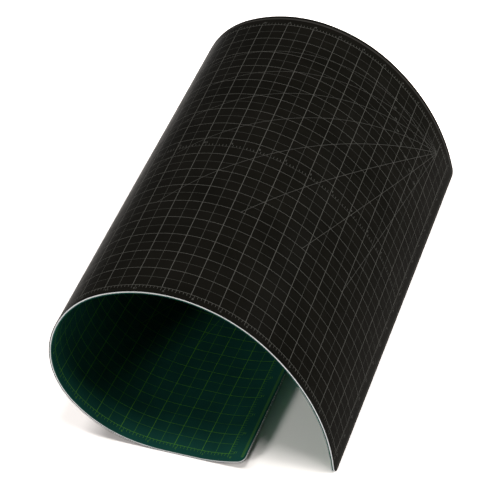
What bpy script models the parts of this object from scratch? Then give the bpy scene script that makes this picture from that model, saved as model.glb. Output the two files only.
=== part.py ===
"""Self-healing cutting mat, rolled up and lying on its flap and on its standing edge.

The mat is a laminate of three plastic plies. All three are cut to one outline, scored at
the same bend lines and rolled together, green side inwards. The bend lines lean a little
across the sheet, so the roll is not quite a cylinder.

The sheet is drawn flat first: x runs from the flap's tip to the standing edge, y from
the front to the back, and z is the height above the middle of the sheet, black side up.
"""

import math
from collections import namedtuple

import bmesh
import bpy
from mathutils import Matrix, Vector

# The flat sheet, 24 by 18 inches
LENGTH = 0.6096
WIDTH = 0.4572
CORNER_RADIUS = 0.006

# Its plies, and the film of glue between them
BLACK_THICKNESS = 0.0007
CORE_THICKNESS = 0.0011
GREEN_THICKNESS = 0.0011
GLUE_FILM = 0.00005

# The roll along the middle of the sheet, from the flap's tip to the standing edge:
# the lengths and radii of arcs that meet smoothly, with one flat stretch on the floor
TIP_LENGTH = 0.062
TIP_RADIUS = 0.128
FLAT_LENGTH = 0.024
RISE_LENGTH = 0.029
RISE_RADIUS = 0.146
LOWER_BEND_LENGTH = 0.0615
LOWER_BEND_RADIUS = 0.098
SIDE_BEND_LENGTH = 0.0635
SIDE_BEND_RADIUS = 0.068
UPPER_BEND_LENGTH = 0.0745
UPPER_BEND_RADIUS = 0.078
CROWN_LENGTH = 0.079
CROWN_RADIUS = 0.122
SHOULDER_LENGTH = 0.072
SHOULDER_RADIUS = 0.145
STANDING_RADIUS = 0.198

# How far the bend lines lean from the sheet's width: at the flap's tip, halfway along
# the sheet and at the standing edge
TIP_LEAN = math.radians(5.2)
MIDDLE_LEAN = math.radians(1.25)
STANDING_LEAN = math.radians(2.75)

# Fineness of the facets, and how near a bend line a point counts as lying on it
LARGEST_FOLD = math.radians(2.0)
CORNER_FACETS = 8
ON_LINE = 0.000001

# The plies' colours and finish
BLACK = (0.020, 0.018, 0.015, 1.0)
WHITE = (0.78, 0.79, 0.77, 1.0)
GREEN = (0.006, 0.050, 0.042, 1.0)
FACE_ROUGHNESS = 0.45
CORE_ROUGHNESS = 0.55

STRAIGHT = None
BendLine = namedtuple("BendLine", "point direction across fold")


def clear_scene():
    for thing in list(bpy.data.objects):
        bpy.data.objects.remove(thing)


def stack_heights():
    """The bottom and top of each ply above the middle of the sheet."""
    plies = {"black": BLACK_THICKNESS, "core": CORE_THICKNESS, "green": GREEN_THICKNESS}
    top = (sum(plies.values()) + 2 * GLUE_FILM) / 2
    heights = {}
    for name, thickness in plies.items():
        heights[name] = (top - thickness, top)
        top -= thickness + GLUE_FILM
    return heights


def roll_arcs():
    """The roll's arcs as (length, radius), the last one as long as the sheet allows."""
    arcs = [
        (TIP_LENGTH, TIP_RADIUS),
        (FLAT_LENGTH, STRAIGHT),
        (RISE_LENGTH, RISE_RADIUS),
        (LOWER_BEND_LENGTH, LOWER_BEND_RADIUS),
        (SIDE_BEND_LENGTH, SIDE_BEND_RADIUS),
        (UPPER_BEND_LENGTH, UPPER_BEND_RADIUS),
        (CROWN_LENGTH, CROWN_RADIUS),
        (SHOULDER_LENGTH, SHOULDER_RADIUS),
    ]
    used = sum(length for length, radius in arcs)
    arcs.append((LENGTH - used, STANDING_RADIUS))
    return arcs


def lean_at(place):
    """The bend lines' lean, on a parabola through its three stated values."""
    t = place / LENGTH
    from_tip = TIP_LEAN * (1 - t) * (1 - 2 * t)
    from_middle = MIDDLE_LEAN * 4 * t * (1 - t)
    from_standing = STANDING_LEAN * t * (2 * t - 1)
    return from_tip + from_middle + from_standing


def bend_line(place, fold):
    """The bend line that crosses the middle of the sheet at a place."""
    lean = lean_at(place)
    direction = Vector((math.sin(lean), math.cos(lean), 0.0))
    across = Vector((math.cos(lean), -math.sin(lean), 0.0))
    return BendLine(Vector((place, WIDTH / 2, 0.0)), direction, across, fold)


def bend_lines():
    """All the bend lines, tip first: each arc is shared out into small equal folds."""
    lines = []
    start = 0.0
    for length, radius in roll_arcs():
        if radius is not STRAIGHT:
            count = math.ceil(length / radius / LARGEST_FOLD)
            step = length / count
            for i in range(count):
                lines.append(bend_line(start + (i + 0.5) * step, step / radius))
        start += length
    return lines


def turn_about(line, angle):
    """The turn by an angle about a bend line of the flat sheet."""
    to_line = Matrix.Translation(line.point)
    return to_line @ Matrix.Rotation(angle, 4, line.direction) @ to_line.inverted()


class Roll:
    """The rolled sheet: its bend lines, and the turn of each flat strip between them."""

    def __init__(self):
        self.lines = bend_lines()
        self.turns = [Matrix.Identity(4)]
        for line in self.lines:
            self.turns.append(self.turns[-1] @ turn_about(line, line.fold))

    def place(self, flat):
        """Where a point of the flat sheet lies in the roll."""
        passed = 0
        for line in self.lines:
            distance = (flat - line.point).dot(line.across)
            if abs(distance) < ON_LINE:
                return self.place_on_line(flat, passed)
            if distance < 0:
                break
            passed += 1
        return self.turns[passed] @ flat

    def place_on_line(self, flat, index):
        """The same for a point on a bend line: turned by half the fold, and mitred."""
        line = self.lines[index]
        mitred = Vector((flat.x, flat.y, flat.z / math.cos(line.fold / 2)))
        return self.turns[index] @ turn_about(line, line.fold / 2) @ mitred


def outline():
    """The sheet's outline: four corner arcs joined by straight sides."""
    near = CORNER_RADIUS
    right = LENGTH - CORNER_RADIUS
    back = WIDTH - CORNER_RADIUS
    quarter_turn = math.pi / 2
    points = []
    for quarter, (x, y) in enumerate(((right, back), (near, back), (near, near), (right, near))):
        for i in range(CORNER_FACETS + 1):
            angle = quarter_turn * (quarter + i / CORNER_FACETS)
            points.append((x + CORNER_RADIUS * math.cos(angle), y + CORNER_RADIUS * math.sin(angle)))
    return points


def ply_mesh(name, low, high, roll):
    """A ply between two heights: cut to the outline, scored at the bend lines, and rolled."""
    work = bmesh.new()
    work.faces.new([work.verts.new((x, y, low)) for x, y in outline()])
    for line in roll.lines:
        sheet = work.verts[:] + work.edges[:] + work.faces[:]
        bmesh.ops.bisect_plane(work, geom=sheet, dist=ON_LINE, plane_co=line.point, plane_no=line.across)
    raised = bmesh.ops.extrude_face_region(work, geom=work.faces[:])["geom"]
    for vert in raised:
        if isinstance(vert, bmesh.types.BMVert):
            vert.co.z = high
    for vert in work.verts:
        vert.co = roll.place(vert.co)
    bmesh.ops.recalc_face_normals(work, faces=work.faces[:])
    mesh = bpy.data.meshes.new(name)
    work.to_mesh(mesh)
    work.free()
    return mesh


def vinyl(name, colour, roughness):
    """A plastic surface of one colour."""
    material = bpy.data.materials.new(name)
    material.use_nodes = True
    shader = material.node_tree.nodes["Principled BSDF"]
    shader.inputs["Base Color"].default_value = colour
    shader.inputs["Roughness"].default_value = roughness
    shader.inputs["Metallic"].default_value = 0.0
    return material


def add_ply(name, heights, roll, material):
    low, high = heights
    mesh = ply_mesh(name, low, high, roll)
    mesh.materials.append(material)
    ply = bpy.data.objects.new(name, mesh)
    bpy.context.collection.objects.link(ply)
    return ply


def standing_line(roll, inner_face):
    """The front and back ends of the line that the standing edge stands on."""
    ends = []
    for y in (CORNER_RADIUS, WIDTH - CORNER_RADIUS):
        ends.append(roll.place(Vector((LENGTH, y, inner_face))))
    return ends


def flap_underside(roll, outer_face):
    """The ends of the bend lines in the sheet's first half, on the face that the flap lies on."""
    points = []
    for line in roll.lines:
        if line.point.x < LENGTH / 2:
            for y in (0.0, WIDTH):
                flat = line.point + line.direction * ((y - line.point.y) / line.direction.y)
                flat.z = outer_face
                points.append(roll.place(flat))
    return points


def onto_floor(roll, inner_face, outer_face):
    """The move that stands the roll on its standing edge and tips it until the flap lies down.

    The standing edge then runs along Y at the right, and the flap lies to its left.
    """
    turned_over = Matrix.Rotation(math.pi, 4, "Y")
    front, back = [turned_over @ end for end in standing_line(roll, inner_face)]
    along_y = (back - front).rotation_difference(Vector((0.0, 1.0, 0.0))).to_matrix().to_4x4()
    stand = along_y @ Matrix.Translation(-front) @ turned_over
    slopes = []
    for point in flap_underside(roll, outer_face):
        seen = stand @ point
        slopes.append(math.atan2(seen.z, -seen.x))
    return Matrix.Rotation(-min(slopes), 4, "Y") @ stand


def centred(move, plies):
    """The same move, shifted so that the roll's box is centred over the origin, on z = 0."""
    points = [move @ vert.co for ply in plies for vert in ply.data.vertices]
    middle_x = (min(p.x for p in points) + max(p.x for p in points)) / 2
    middle_y = (min(p.y for p in points) + max(p.y for p in points)) / 2
    lowest = min(p.z for p in points)
    return Matrix.Translation((-middle_x, -middle_y, -lowest)) @ move


def build():
    clear_scene()
    roll = Roll()
    heights = stack_heights()
    plies = [
        add_ply("black_face_ply", heights["black"], roll, vinyl("black_vinyl", BLACK, FACE_ROUGHNESS)),
        add_ply("white_core_ply", heights["core"], roll, vinyl("white_vinyl", WHITE, CORE_ROUGHNESS)),
        add_ply("green_face_ply", heights["green"], roll, vinyl("green_vinyl", GREEN, FACE_ROUGHNESS)),
    ]
    inner_face = heights["green"][0]
    outer_face = heights["black"][1]
    mat = bpy.data.objects.new("cutting_mat", None)
    bpy.context.collection.objects.link(mat)
    mat.matrix_world = centred(onto_floor(roll, inner_face, outer_face), plies)
    for ply in plies:
        ply.parent = mat


build()
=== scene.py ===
"""Looks of the self-healing cutting mat: its three plies, its print, the light and the camera.

The sheet is drawn flat, as in the CAD source: x runs from the flap's tip to the standing
edge, y from the front to the back, and z is the height above the middle of the sheet.
The print is drawn in inches, as it reads: u to the right and w up, from the corner that
the two wide margins share.
"""

import math
from collections import namedtuple

import bmesh
import bpy
import numpy as np
from mathutils import Matrix, Vector


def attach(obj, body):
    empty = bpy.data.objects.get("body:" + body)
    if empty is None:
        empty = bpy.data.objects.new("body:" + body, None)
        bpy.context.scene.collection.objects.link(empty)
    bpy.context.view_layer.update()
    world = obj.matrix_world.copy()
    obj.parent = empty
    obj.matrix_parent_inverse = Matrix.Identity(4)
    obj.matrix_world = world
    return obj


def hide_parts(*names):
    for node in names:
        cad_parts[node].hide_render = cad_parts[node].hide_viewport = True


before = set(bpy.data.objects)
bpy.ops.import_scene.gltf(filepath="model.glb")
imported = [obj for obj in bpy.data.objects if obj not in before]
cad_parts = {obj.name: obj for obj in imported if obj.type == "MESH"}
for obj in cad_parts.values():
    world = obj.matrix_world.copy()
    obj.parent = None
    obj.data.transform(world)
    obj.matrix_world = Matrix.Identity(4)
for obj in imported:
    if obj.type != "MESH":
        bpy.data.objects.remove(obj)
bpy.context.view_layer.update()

INCH = 0.0254

# The sheet and its plies, in metres: with the ink on both faces they are as thick as the CAD's
LENGTH = 0.6096
WIDTH = 0.4572
CORNER_RADIUS = 0.006
BLACK_THICKNESS = 0.00067
CORE_THICKNESS = 0.0011
GREEN_THICKNESS = 0.00107
GLUE_FILM = 0.00005
EDGE_CHAMFER = 0.00012
PRINT_LIFT = 0.00002
ANGLE_LIFT = 0.00003

# The roll's arcs from the flap's tip to the standing edge, as length and radius
STRAIGHT = None
ARCS = (
    (0.062, 0.128),
    (0.024, STRAIGHT),
    (0.029, 0.146),
    (0.0615, 0.098),
    (0.0635, 0.068),
    (0.0745, 0.078),
    (0.079, 0.122),
    (0.072, 0.145),
)
STANDING_RADIUS = 0.198
TIP_LEAN = math.radians(5.2)
MIDDLE_LEAN = math.radians(1.25)
STANDING_LEAN = math.radians(2.75)

# Fineness of the facets, how near a bend line a point counts as lying on it, and the
# least angle that shades as an edge
LARGEST_FOLD = math.radians(1.25)
CORNER_FACETS = 16
ON_LINE = 0.000001
SHARP_ANGLE = math.radians(30)

# The print: a grid of 23 by 17 inches, with its margins on each face in metres and the
# rest in inches
GRID_ACROSS = 23
GRID_UP = 17
BLACK_SIDE_MARGIN = 0.018
GREEN_SIDE_MARGIN = 0.0167
BOTTOM_MARGIN = 0.01645
COLUMN_LINE = 0.00038 / INCH
ROW_LINE = 0.00034 / INCH
FINE_LINE = 0.00030 / INCH
SHORT_TICK = 0.12
MIDDLE_TICK = 0.15
INCH_TICK = 0.18
NUMERAL_FINENESS = 2
NUMERAL_HEIGHT = 0.10
NUMERAL_GAP = 0.03
NUMERAL_DROP = 0.185
TOP_NUMERAL_SHIFT = 0.045
MIDDLE_RULER = 8.5
MIDDLE_NUMERAL_DROP = 0.22

# The fan of angle lines, in inches and degrees
FAN_CORNER = (1.0, 0.5)
FAN_START = 0.09
FAN_TOP = 12.0
FAN_SIDE = 22.0
FAN_STEP = 10
FAN_LABEL_RADIUS = 3.0
FAN_LABEL_TURN = 2.2

# The pale stripe along the two wide margins, in metres. On the green face it is print; on the black
# face it is print made paler, a painted highlight along the rim
STRIPE_WIDTH = 0.0025
SIDE_STRIPE_INSET = 0.0028
BOTTOM_STRIPE_INSET = 0.0047

# The faces' colours and finish: matt from above, with a sheen at grazing angles alone
BLACK_DARK = (0.0072, 0.0067, 0.0052, 1)
BLACK_LIGHT = (0.0104, 0.0096, 0.0075, 1)
GREEN_DARK = (0.0118, 0.070, 0.054, 1)
GREEN_LIGHT = (0.0152, 0.094, 0.072, 1)
CORE_DARK = (0.82, 0.83, 0.82, 1)
CORE_LIGHT = (0.90, 0.91, 0.90, 1)
GREY_INKS = {
    "grid": (0.150, 0.146, 0.130, 1),
    "half_inches": (0.085, 0.083, 0.073, 1),
    "rulers": (0.120, 0.117, 0.104, 1),
    "angles": (0.115, 0.112, 0.100, 1),
    # The black face's stripe is paler than its print: a painted highlight along the rim
    "stripe_and_highlight": (0.045, 0.042, 0.037, 1),
}
LIME_INKS = {
    "grid": (0.14, 0.47, 0.018, 1),
    "half_inches": (0.095, 0.34, 0.022, 1),
    "rulers": (0.11, 0.36, 0.022, 1),
    "angles": (0.095, 0.34, 0.022, 1),
    "stripe_and_highlight": (0.055, 0.175, 0.050, 1),
}
FACE_ROUGHNESS = 0.25
ROUGHNESS_SPREAD = 0.05
FACE_IOR = 1.02
CORE_ROUGHNESS = 0.5

# The noises in the surfaces, as scale and detail, the range that most of their values
# keep to, and the bumps made from them, as strength and depth
CLOUDS = (22.0, 4.0)
GLOSS_PATCHES = (90.0, 3.0)
GRAIN = (1800.0, 2.0)
BLADE_MARKS = (260.0, 2.0)
NOISE_RANGE = (0.3, 0.7)
GRAIN_BUMP = (0.35, 0.00003)
BLADE_BUMP = (0.2, 0.00005)

# The floor: what it gives back to the light, what the camera sees near the mat, and
# the distances between which that fades to plain white
FLOOR_REACH = 20.0
FLOOR_COLOUR = (0.85, 0.85, 0.85, 1)
FLOOR_ROUGHNESS = 0.9
FLOOR_SPECULAR = 0.1
FLOOR_GAIN = (2.42, 2.30, 2.22, 1)
FLOOR_FADE = (0.4, 0.9)

# The light: each softbox by its azimuth, elevation, size and power
WORLD_STRENGTH = 0.05
LAMP_DISTANCE = 2.5
LAMP_AIM = (0.0, 0.0, 0.06)
LAMPS = {
    "back_right": (45, 29, 1.0, 25),
    "left_high": (180, 58, 1.0, 18),
    "front_high": (270, 80, 0.6, 11),
    "right": (0, 24, 1.0, 16),
    "front_left": (245, 20, 0.4, 17),
}

# The camera
CAMERA_PLACE = (0.5262, -1.8371, 1.5376)
CAMERA_TURN = (52.147, 0.077, 16.313)
FOCAL_LENGTH = 188.79
SENSOR_WIDTH = 36.0

BendLine = namedtuple("BendLine", "point direction across fold")


def stack_heights():
    """The bottom and top of each ply above the middle of the sheet."""
    plies = {"black": BLACK_THICKNESS, "core": CORE_THICKNESS, "green": GREEN_THICKNESS}
    top = (sum(plies.values()) + 2 * GLUE_FILM) / 2
    heights = {}
    for name, thickness in plies.items():
        heights[name] = (top - thickness, top)
        top -= thickness + GLUE_FILM
    return heights


BLACK_FACE = stack_heights()["black"][1]
GREEN_FACE = stack_heights()["green"][0]


def roll_arcs():
    """The roll's arcs, the last one as long as the sheet allows."""
    used = sum(length for length, radius in ARCS)
    return ARCS + ((LENGTH - used, STANDING_RADIUS),)


def lean_at(place):
    """The bend lines' lean, on a parabola through its three stated values."""
    t = place / LENGTH
    from_tip = TIP_LEAN * (1 - t) * (1 - 2 * t)
    from_middle = MIDDLE_LEAN * 4 * t * (1 - t)
    from_standing = STANDING_LEAN * t * (2 * t - 1)
    return from_tip + from_middle + from_standing


def bend_line(place, fold):
    """The bend line that crosses the middle of the sheet at a place."""
    lean = lean_at(place)
    direction = Vector((math.sin(lean), math.cos(lean), 0.0))
    across = Vector((math.cos(lean), -math.sin(lean), 0.0))
    return BendLine(Vector((place, WIDTH / 2, 0.0)), direction, across, fold)


def bend_lines():
    """All the bend lines, tip first: each arc is shared out into small equal folds."""
    lines = []
    start = 0.0
    for length, radius in roll_arcs():
        if radius is not STRAIGHT:
            count = math.ceil(length / radius / LARGEST_FOLD)
            step = length / count
            for i in range(count):
                lines.append(bend_line(start + (i + 0.5) * step, step / radius))
        start += length
    return lines


def turn_about(line, angle):
    """The turn by an angle about a bend line of the flat sheet."""
    to_line = Matrix.Translation(line.point)
    return to_line @ Matrix.Rotation(angle, 4, line.direction) @ to_line.inverted()


def outline(inset=0.0):
    """The sheet's outline, or one a little inside it: four corner arcs and straight sides."""
    radius = CORNER_RADIUS - inset
    right = LENGTH - CORNER_RADIUS
    back = WIDTH - CORNER_RADIUS
    near = CORNER_RADIUS
    points = []
    for quarter, (x, y) in enumerate(((right, back), (near, back), (near, near), (right, near))):
        for i in range(CORNER_FACETS + 1):
            angle = math.pi / 2 * (quarter + i / CORNER_FACETS)
            points.append((x + radius * math.cos(angle), y + radius * math.sin(angle)))
    return points


def ring(work, inset, height):
    return [work.verts.new((x, y, height)) for x, y in outline(inset)]


class Roll:
    """The rolled sheet, set down on the floor where the CAD part lies."""

    def __init__(self):
        self.lines = bend_lines()
        turns = [Matrix.Identity(4)]
        half_turns = []
        for line in self.lines:
            half_turns.append(turns[-1] @ turn_about(line, line.fold / 2))
            turns.append(turns[-1] @ turn_about(line, line.fold))
        self.turns = np.array(turns)
        self.half_turns = np.array(half_turns)
        self.mitres = np.array([1 / math.cos(line.fold / 2) for line in self.lines])
        self.across = np.array([line.across for line in self.lines])
        self.starts = np.array([line.point.dot(line.across) for line in self.lines])
        self.move = Matrix.Identity(4)
        self.move = onto_floor(self)
        self.move = centred(self) @ self.move

    def place(self, flat):
        """Where points of the flat sheet lie in the world."""
        flat = np.asarray(flat, dtype=float)
        past = flat[:, :2] @ self.across[:, :2].T - self.starts
        passed = (past > ON_LINE).sum(axis=1)
        on_line = (np.abs(past) <= ON_LINE).any(axis=1)
        turns = self.turns[passed]
        turns[on_line] = self.half_turns[passed[on_line]]
        points = np.column_stack((flat, np.ones(len(flat))))
        points[on_line, 2] *= self.mitres[passed[on_line]]
        rolled = np.einsum("nij,nj->ni", turns, points)
        return (rolled @ np.array(self.move).T)[:, :3]


def line_ends(line):
    """Where a bend line meets the front and the back of the flat sheet."""
    ends = []
    for y in (0.0, WIDTH):
        ends.append(line.point + line.direction * ((y - line.point.y) / line.direction.y))
    return ends


def onto_floor(roll):
    """The move that stands the roll on its standing edge and tips it until the flap lies down."""
    turned_over = Matrix.Rotation(math.pi, 4, "Y")
    edge = [(LENGTH, y, GREEN_FACE) for y in (CORNER_RADIUS, WIDTH - CORNER_RADIUS)]
    front, back = [turned_over @ Vector(end) for end in roll.place(edge)]
    along_y = (back - front).rotation_difference(Vector((0.0, 1.0, 0.0))).to_matrix().to_4x4()
    stand = along_y @ Matrix.Translation(-front) @ turned_over
    flap = []
    for line in roll.lines:
        if line.point.x < LENGTH / 2:
            for end in line_ends(line):
                flap.append((end.x, end.y, BLACK_FACE))
    slopes = []
    for point in roll.place(flap):
        seen = stand @ Vector(point)
        slopes.append(math.atan2(seen.z, -seen.x))
    return Matrix.Rotation(-min(slopes), 4, "Y") @ stand


def centred(roll):
    """The shift that centres the roll's box over the origin and rests its print on z = 0."""
    work = bmesh.new()
    work.faces.new(ring(work, 0.0, 0.0))
    score(work, roll.lines)
    rim = [(vert.co.x, vert.co.y, face) for vert in work.verts for face in (GREEN_FACE, BLACK_FACE)]
    work.free()
    points = roll.place(rim)
    middle = (points.min(axis=0) + points.max(axis=0)) / 2
    return Matrix.Translation((-middle[0], -middle[1], ANGLE_LIFT - points[:, 2].min()))


def score(work, lines):
    """Cuts a flat mesh along the bend lines."""
    for line in lines:
        sheet = work.verts[:] + work.edges[:] + work.faces[:]
        bmesh.ops.bisect_plane(
            work, geom=sheet, dist=ON_LINE, plane_co=line.point, plane_no=line.across
        )


def rolled_piece(name, work, roll, material):
    """A piece of the mat made from its flat mesh."""
    score(work, roll.lines)
    mesh = bpy.data.meshes.new(name)
    work.to_mesh(mesh)
    work.free()
    flat = np.empty(len(mesh.vertices) * 3)
    mesh.vertices.foreach_get("co", flat)
    mesh.vertices.foreach_set("co", roll.place(flat.reshape(-1, 3)).ravel())
    mesh.shade_smooth()
    mesh.materials.append(material)
    piece = bpy.data.objects.new(name, mesh)
    bpy.context.collection.objects.link(piece)
    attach(piece, "root")
    return piece


def ply(name, heights, chamfers, roll, material):
    """A ply with a small chamfer round its bottom face, its top face, both or neither."""
    low, high = heights
    bottom, top = chamfers
    work = bmesh.new()
    rings = [ring(work, bottom, low)]
    if bottom:
        rings.append(ring(work, 0.0, low + bottom))
    if top:
        rings.append(ring(work, 0.0, high - top))
    rings.append(ring(work, top, high))
    for below, above in zip(rings, rings[1:]):
        for i in range(len(below)):
            work.faces.new((below[i - 1], below[i], above[i], above[i - 1]))
    work.faces.new(rings[0][::-1])
    work.faces.new(rings[-1])
    piece = rolled_piece(name, work, roll, material)
    piece.data.set_sharp_from_angle(angle=SHARP_ANGLE)
    return piece


def bar(left, bottom, right, top):
    return [(left, bottom), (right, bottom), (right, top), (left, top)]


def inch_lines():
    """The lines at whole inches: whole rows, and columns cut at each row."""
    edge = COLUMN_LINE / 2
    half = ROW_LINE / 2
    bars = [bar(-edge, row - half, GRID_ACROSS + edge, row + half) for row in range(GRID_UP + 1)]
    for column in range(GRID_ACROSS + 1):
        for row in range(GRID_UP):
            bars.append(bar(column - edge, row + half, column + edge, row + 1 - half))
    return bars


def half_inch_lines():
    """The fine lines halfway: rows cut at each inch column, and columns cut at every row."""
    edge = COLUMN_LINE / 2
    half = ROW_LINE / 2
    fine = FINE_LINE / 2
    bars = []
    for k in range(GRID_UP):
        row = k + 0.5
        for column in range(GRID_ACROSS):
            bars.append(bar(column + edge, row - fine, column + 1 - edge, row + fine))
    for k in range(GRID_ACROSS):
        column = k + 0.5
        for row in range(GRID_UP):
            for low, high in ((row + half, row + 0.5 - fine), (row + 0.5 + fine, row + 1 - half)):
                bars.append(bar(column - fine, low, column + fine, high))
    return bars


def tick_length(eighths):
    if eighths % 8 == 0:
        return INCH_TICK
    if eighths % 4 == 0:
        return MIDDLE_TICK
    return SHORT_TICK


def ruler_ticks():
    """Ticks at each eighth of an inch: outside the grid's four sides, and under its middle row."""
    bars = []
    half = FINE_LINE / 2
    edge = ROW_LINE / 2
    for k in range(8 * GRID_ACROSS + 1):
        place = k / 8
        reach = tick_length(k)
        bars.append(bar(place - half, -reach, place + half, -edge))
        bars.append(bar(place - half, GRID_UP + edge, place + half, GRID_UP + reach))
        if k % 4:
            bars.append(bar(place - half, MIDDLE_RULER - reach, place + half, MIDDLE_RULER - half))
    edge = COLUMN_LINE / 2
    for k in range(8 * GRID_UP + 1):
        place = k / 8
        reach = tick_length(k)
        bars.append(bar(-reach, place - half, -edge, place + half))
        bars.append(bar(GRID_ACROSS + edge, place - half, GRID_ACROSS + reach, place + half))
    return bars


class Numerals:
    """Numbers in Blender's own font, as filled flat shapes one unit high."""

    def __init__(self):
        self.known = {}

    def outlines(self, number):
        """The triangles of a number, its middle at the origin."""
        if number not in self.known:
            curve = bpy.data.curves.new("numeral", "FONT")
            curve.body = str(number)
            curve.resolution_u = NUMERAL_FINENESS
            holder = bpy.data.objects.new("numeral", curve)
            mesh = bpy.data.meshes.new_from_object(holder)
            points = np.array([vertex.co[:2] for vertex in mesh.vertices])
            low = points.min(axis=0)
            high = points.max(axis=0)
            points = (points - (low + high) / 2) / (high[1] - low[1])
            self.known[number] = [[tuple(points[i]) for i in face.vertices] for face in mesh.polygons]
            bpy.data.objects.remove(holder)
            bpy.data.curves.remove(curve)
            bpy.data.meshes.remove(mesh)
        return self.known[number]

    def width(self, number):
        return NUMERAL_HEIGHT * 2 * max(x for face in self.outlines(number) for x, y in face)

    def at(self, number, u, w):
        """A number with its middle at a place."""
        shapes = []
        for face in self.outlines(number):
            shapes.append([(u + NUMERAL_HEIGHT * x, w + NUMERAL_HEIGHT * y) for x, y in face])
        return shapes

    def left_of(self, number, u, w):
        """A number that ends just left of a line."""
        return self.at(number, u - NUMERAL_GAP - self.width(number) / 2, w)


def ruler_numerals(numerals):
    shapes = []
    for k in range(GRID_ACROSS + 1):
        shapes += numerals.left_of(k, k, -NUMERAL_DROP)
        shapes += numerals.left_of(k, k - TOP_NUMERAL_SHIFT, GRID_UP + NUMERAL_DROP)
        if 0 < k < GRID_ACROSS:
            shapes += numerals.left_of(k, k, MIDDLE_RULER - MIDDLE_NUMERAL_DROP)
    for k in range(1, GRID_UP + 1):
        beside = SHORT_TICK + NUMERAL_GAP + numerals.width(k) / 2
        below = k - NUMERAL_GAP - NUMERAL_HEIGHT / 2
        shapes += numerals.at(k, -beside, below)
        shapes += numerals.at(k, GRID_ACROSS + beside, below)
    return shapes


def fan_lines():
    """The angle lines, each from near the fan's corner to the fan's top or side."""
    u, w = FAN_CORNER
    half = FINE_LINE / 2
    bars = []
    for angle in range(FAN_STEP, 90, FAN_STEP):
        cosine = math.cos(math.radians(angle))
        sine = math.sin(math.radians(angle))
        reach = min((FAN_TOP - w) / sine, (FAN_SIDE - u) / cosine)
        corners = bar(FAN_START, -half, reach, half)
        bars.append([(u + a * cosine - b * sine, w + a * sine + b * cosine) for a, b in corners])
    return bars


def fan_labels(numerals):
    u, w = FAN_CORNER
    shapes = []
    for angle in range(FAN_STEP, 90, FAN_STEP):
        turned = math.radians(angle - FAN_LABEL_TURN)
        right = FAN_LABEL_RADIUS * math.cos(turned)
        up = FAN_LABEL_RADIUS * math.sin(turned)
        shapes += numerals.at(angle, u + right, w + up)
    return shapes


def border_stripes(side_margin):
    """The pale stripe: an L along the side and the bottom of the sheet, on the black face also a
    painted highlight.
    """
    left = (SIDE_STRIPE_INSET - STRIPE_WIDTH / 2 - side_margin) / INCH
    bottom = (BOTTOM_STRIPE_INSET - STRIPE_WIDTH / 2 - BOTTOM_MARGIN) / INCH
    wide = STRIPE_WIDTH / INCH
    right = GRID_ACROSS + INCH_TICK
    top = GRID_UP + INCH_TICK
    return [bar(left, bottom, right, bottom + wide), bar(left, bottom + wide, left + wide, top)]


def black_place(u, w):
    """Where a point of the print lies on the flat sheet's black face."""
    return LENGTH - BLACK_SIDE_MARGIN - u * INCH, WIDTH - BOTTOM_MARGIN - w * INCH, BLACK_FACE


def green_place(u, w):
    """Where a point of the print lies on the flat sheet's green face."""
    return GREEN_SIDE_MARGIN + u * INCH, WIDTH - BOTTOM_MARGIN - w * INCH, GREEN_FACE


def ink(name, shapes, place, lift, roll, material):
    """Printed shapes, lying a hair above the face that they are printed on."""
    work = bmesh.new()
    for shape in shapes:
        corners = []
        for u, w in shape:
            x, y, z = place(u, w)
            corners.append(work.verts.new((x, y, z + math.copysign(lift, z))))
        work.faces.new(corners)
    return rolled_piece(name, work, roll, material)


def shader_of(name):
    """A new material, with its node tree and its main shader."""
    material = bpy.data.materials.new(name)
    material.use_nodes = True
    tree = material.node_tree
    return material, tree, tree.nodes["Principled BSDF"]


def add_node(tree, kind, **values):
    """A node with some of its inputs set."""
    node = tree.nodes.new(kind)
    for name, value in values.items():
        node.inputs[name.replace("_", " ")].default_value = value
    return node


def noise(tree, place, pattern):
    scale, detail = pattern
    node = add_node(tree, "ShaderNodeTexNoise", Scale=scale, Detail=detail)
    tree.links.new(place, node.inputs["Vector"])
    return node.outputs["Fac"]


def ranged(tree, value, low, high):
    """A noise value carried from its usual range to another."""
    least, most = NOISE_RANGE
    node = add_node(
        tree, "ShaderNodeMapRange", From_Min=least, From_Max=most, To_Min=low, To_Max=high
    )
    tree.links.new(value, node.inputs["Value"])
    return node.outputs["Result"]


def mixed_colours(tree, value, dark, light):
    """A colour between two, by a noise value."""
    mix = tree.nodes.new("ShaderNodeMix")
    mix.data_type = "RGBA"
    mix.inputs["A"].default_value = dark
    mix.inputs["B"].default_value = light
    tree.links.new(ranged(tree, value, 0.0, 1.0), mix.inputs["Factor"])
    return mix.outputs["Result"]


def bumped(tree, height, relief):
    """The surface's direction, roughened by a noise value."""
    strength, depth = relief
    bump = add_node(tree, "ShaderNodeBump", Strength=strength, Distance=depth)
    tree.links.new(height, bump.inputs["Height"])
    return bump.outputs["Normal"]


def vinyl(name, dark, light):
    """Calendered plastic: a fine grain, faint clouds in its colour and a sheen at grazing angles."""
    material, tree, shader = shader_of(name)
    place = tree.nodes.new("ShaderNodeTexCoord").outputs["Object"]
    colour = mixed_colours(tree, noise(tree, place, CLOUDS), dark, light)
    tree.links.new(colour, shader.inputs["Base Color"])
    patches = noise(tree, place, GLOSS_PATCHES)
    least = FACE_ROUGHNESS - ROUGHNESS_SPREAD
    most = FACE_ROUGHNESS + ROUGHNESS_SPREAD
    tree.links.new(ranged(tree, patches, least, most), shader.inputs["Roughness"])
    shader.inputs["IOR"].default_value = FACE_IOR
    grain = noise(tree, place, GRAIN)
    tree.links.new(bumped(tree, grain, GRAIN_BUMP), shader.inputs["Normal"])
    return material


def core_material():
    """The cut edge of the core: off-white, with the blade's faint marks."""
    material, tree, shader = shader_of("core_cut_edge")
    place = tree.nodes.new("ShaderNodeTexCoord").outputs["Object"]
    marks = noise(tree, place, BLADE_MARKS)
    colour = mixed_colours(tree, marks, CORE_DARK, CORE_LIGHT)
    tree.links.new(colour, shader.inputs["Base Color"])
    shader.inputs["Roughness"].default_value = CORE_ROUGHNESS
    tree.links.new(bumped(tree, marks, BLADE_BUMP), shader.inputs["Normal"])
    return material


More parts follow.
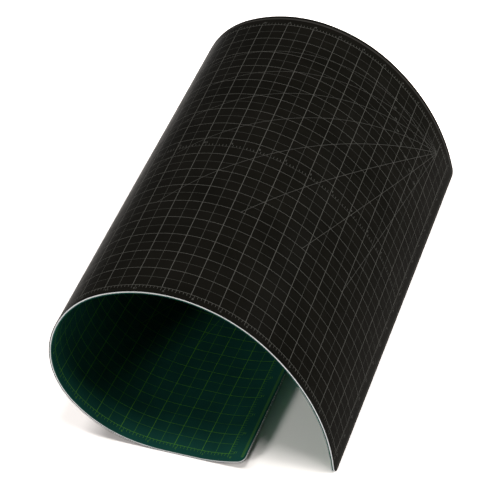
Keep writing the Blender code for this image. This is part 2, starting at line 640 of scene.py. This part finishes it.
def ink_material(name, colour):
    """Ink as matt as the face that it is printed on."""
    material, tree, shader = shader_of(name)
    shader.inputs["Base Color"].default_value = colour
    shader.inputs["Roughness"].default_value = FACE_ROUGHNESS
    shader.inputs["IOR"].default_value = FACE_IOR
    return material


def add_ply(name, heights, chamfers, roll, material):
    """A ply in the place of the CAD's one."""
    piece = ply(name, heights, chamfers, roll, material)
    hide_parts(name + "_ply")


def add_mat(roll):
    heights = stack_heights()
    black = vinyl("black_vinyl", BLACK_DARK, BLACK_LIGHT)
    green = vinyl("green_vinyl", GREEN_DARK, GREEN_LIGHT)
    add_ply("black_face", heights["black"], (0.0, EDGE_CHAMFER), roll, black)
    add_ply("white_core", heights["core"], (0.0, 0.0), roll, core_material())
    add_ply("green_face", heights["green"], (EDGE_CHAMFER, 0.0), roll, green)


def add_print(roll):
    """The same print on both faces, in each face's own inks; the black face's stripe is also a painted
    highlight.
    """
    numerals = Numerals()
    for face, place, margin, inks in (
        ("black", black_place, BLACK_SIDE_MARGIN, GREY_INKS),
        ("green", green_place, GREEN_SIDE_MARGIN, LIME_INKS),
    ):
        prints = {
            "grid": inch_lines(),
            "half_inches": half_inch_lines(),
            "rulers": ruler_ticks() + ruler_numerals(numerals),
            "angles": fan_lines() + fan_labels(numerals),
            # On the black face this stripe is a painted highlight as well as print
            "stripe_and_highlight": border_stripes(margin),
        }
        for name, shapes in prints.items():
            lift = ANGLE_LIFT if name == "angles" else PRINT_LIFT
            material = ink_material(face + "_" + name + "_ink", inks[name])
            ink(face + "_face_" + name, shapes, place, lift, roll, material)


def seen_directly(tree):
    """One for what the camera sees, straight or in a reflection, and zero for the light's own paths."""
    path = tree.nodes.new("ShaderNodeLightPath")
    seen = path.outputs["Is Camera Ray"]
    for ray in ("Is Glossy Ray", "Is Transmission Ray"):
        either = tree.nodes.new("ShaderNodeMath")
        either.operation = "MAXIMUM"
        tree.links.new(seen, either.inputs[0])
        tree.links.new(path.outputs[ray], either.inputs[1])
        seen = either.outputs["Value"]
    return seen


def mixed_shaders(tree, factor, first, second):
    mix = tree.nodes.new("ShaderNodeMixShader")
    tree.links.new(factor, mix.inputs["Fac"])
    tree.links.new(first, mix.inputs[1])
    tree.links.new(second, mix.inputs[2])
    return mix.outputs["Shader"]


def add_floor():
    """A plain pale floor. It looks whiter than it is, and keeps the mat's shadow."""
    mesh = bpy.data.meshes.new("floor")
    corners = bar(-FLOOR_REACH, -FLOOR_REACH, FLOOR_REACH, FLOOR_REACH)
    mesh.from_pydata([(x, y, 0) for x, y in corners], [], [(0, 1, 2, 3)])
    floor = bpy.data.objects.new("floor", mesh)
    bpy.context.collection.objects.link(floor)
    material, tree, shader = shader_of("floor")
    shader.inputs["Base Color"].default_value = FLOOR_COLOUR
    shader.inputs["Roughness"].default_value = FLOOR_ROUGHNESS
    shader.inputs["Specular IOR Level"].default_value = FLOOR_SPECULAR
    near = add_node(tree, "ShaderNodeBsdfDiffuse", Color=FLOOR_GAIN)
    far = add_node(tree, "ShaderNodeEmission", Strength=1.0)
    place = tree.nodes.new("ShaderNodeTexCoord")
    distance = tree.nodes.new("ShaderNodeVectorMath")
    distance.operation = "LENGTH"
    tree.links.new(place.outputs["Object"], distance.inputs[0])
    start, end = FLOOR_FADE
    fade = add_node(tree, "ShaderNodeMapRange", From_Min=start, From_Max=end)
    tree.links.new(distance.outputs["Value"], fade.inputs["Value"])
    white = mixed_shaders(tree, fade.outputs["Result"], near.outputs["BSDF"], far.outputs["Emission"])
    surface = mixed_shaders(tree, seen_directly(tree), shader.outputs["BSDF"], white)
    tree.links.new(surface, tree.nodes["Material Output"].inputs["Surface"])
    mesh.materials.append(material)


def add_world():
    """A faint even surround, which looks white itself."""
    world = bpy.data.worlds.new("studio")
    bpy.context.scene.world = world
    world.use_nodes = True
    tree = world.node_tree
    surround = tree.nodes["Background"]
    surround.inputs["Color"].default_value = (1, 1, 1, 1)
    strength = add_node(tree, "ShaderNodeMapRange", To_Min=WORLD_STRENGTH, To_Max=1.0)
    tree.links.new(seen_directly(tree), strength.inputs["Value"])
    tree.links.new(strength.outputs["Result"], surround.inputs["Strength"])


def add_softbox(name, azimuth, elevation, size, power):
    """A square area light on a globe round the mat, facing it."""
    light = bpy.data.lights.new(name, "AREA")
    light.shape = "SQUARE"
    light.size = size
    light.energy = power
    lamp = bpy.data.objects.new(name, light)
    bpy.context.collection.objects.link(lamp)
    level = LAMP_DISTANCE * math.cos(math.radians(elevation))
    place = Vector((
        level * math.cos(math.radians(azimuth)),
        level * math.sin(math.radians(azimuth)),
        LAMP_DISTANCE * math.sin(math.radians(elevation)),
    ))
    lamp.location = place
    lamp.rotation_euler = (Vector(LAMP_AIM) - place).to_track_quat("-Z", "Y").to_euler()


def add_lights():
    for name, (azimuth, elevation, size, power) in LAMPS.items():
        add_softbox(name, azimuth, elevation, size, power)


def add_camera():
    camera = bpy.data.cameras.new("camera")
    camera.lens = FOCAL_LENGTH
    camera.sensor_width = SENSOR_WIDTH
    viewer = bpy.data.objects.new("camera", camera)
    bpy.context.collection.objects.link(viewer)
    viewer.location = CAMERA_PLACE
    viewer.rotation_euler = [math.radians(angle) for angle in CAMERA_TURN]
    bpy.context.scene.camera = viewer


def build():
    add_camera()
    roll = Roll()
    add_mat(roll)
    add_print(roll)
    add_floor()
    add_world()
    add_lights()
    bpy.context.scene.view_settings.view_transform = "Standard"


build()
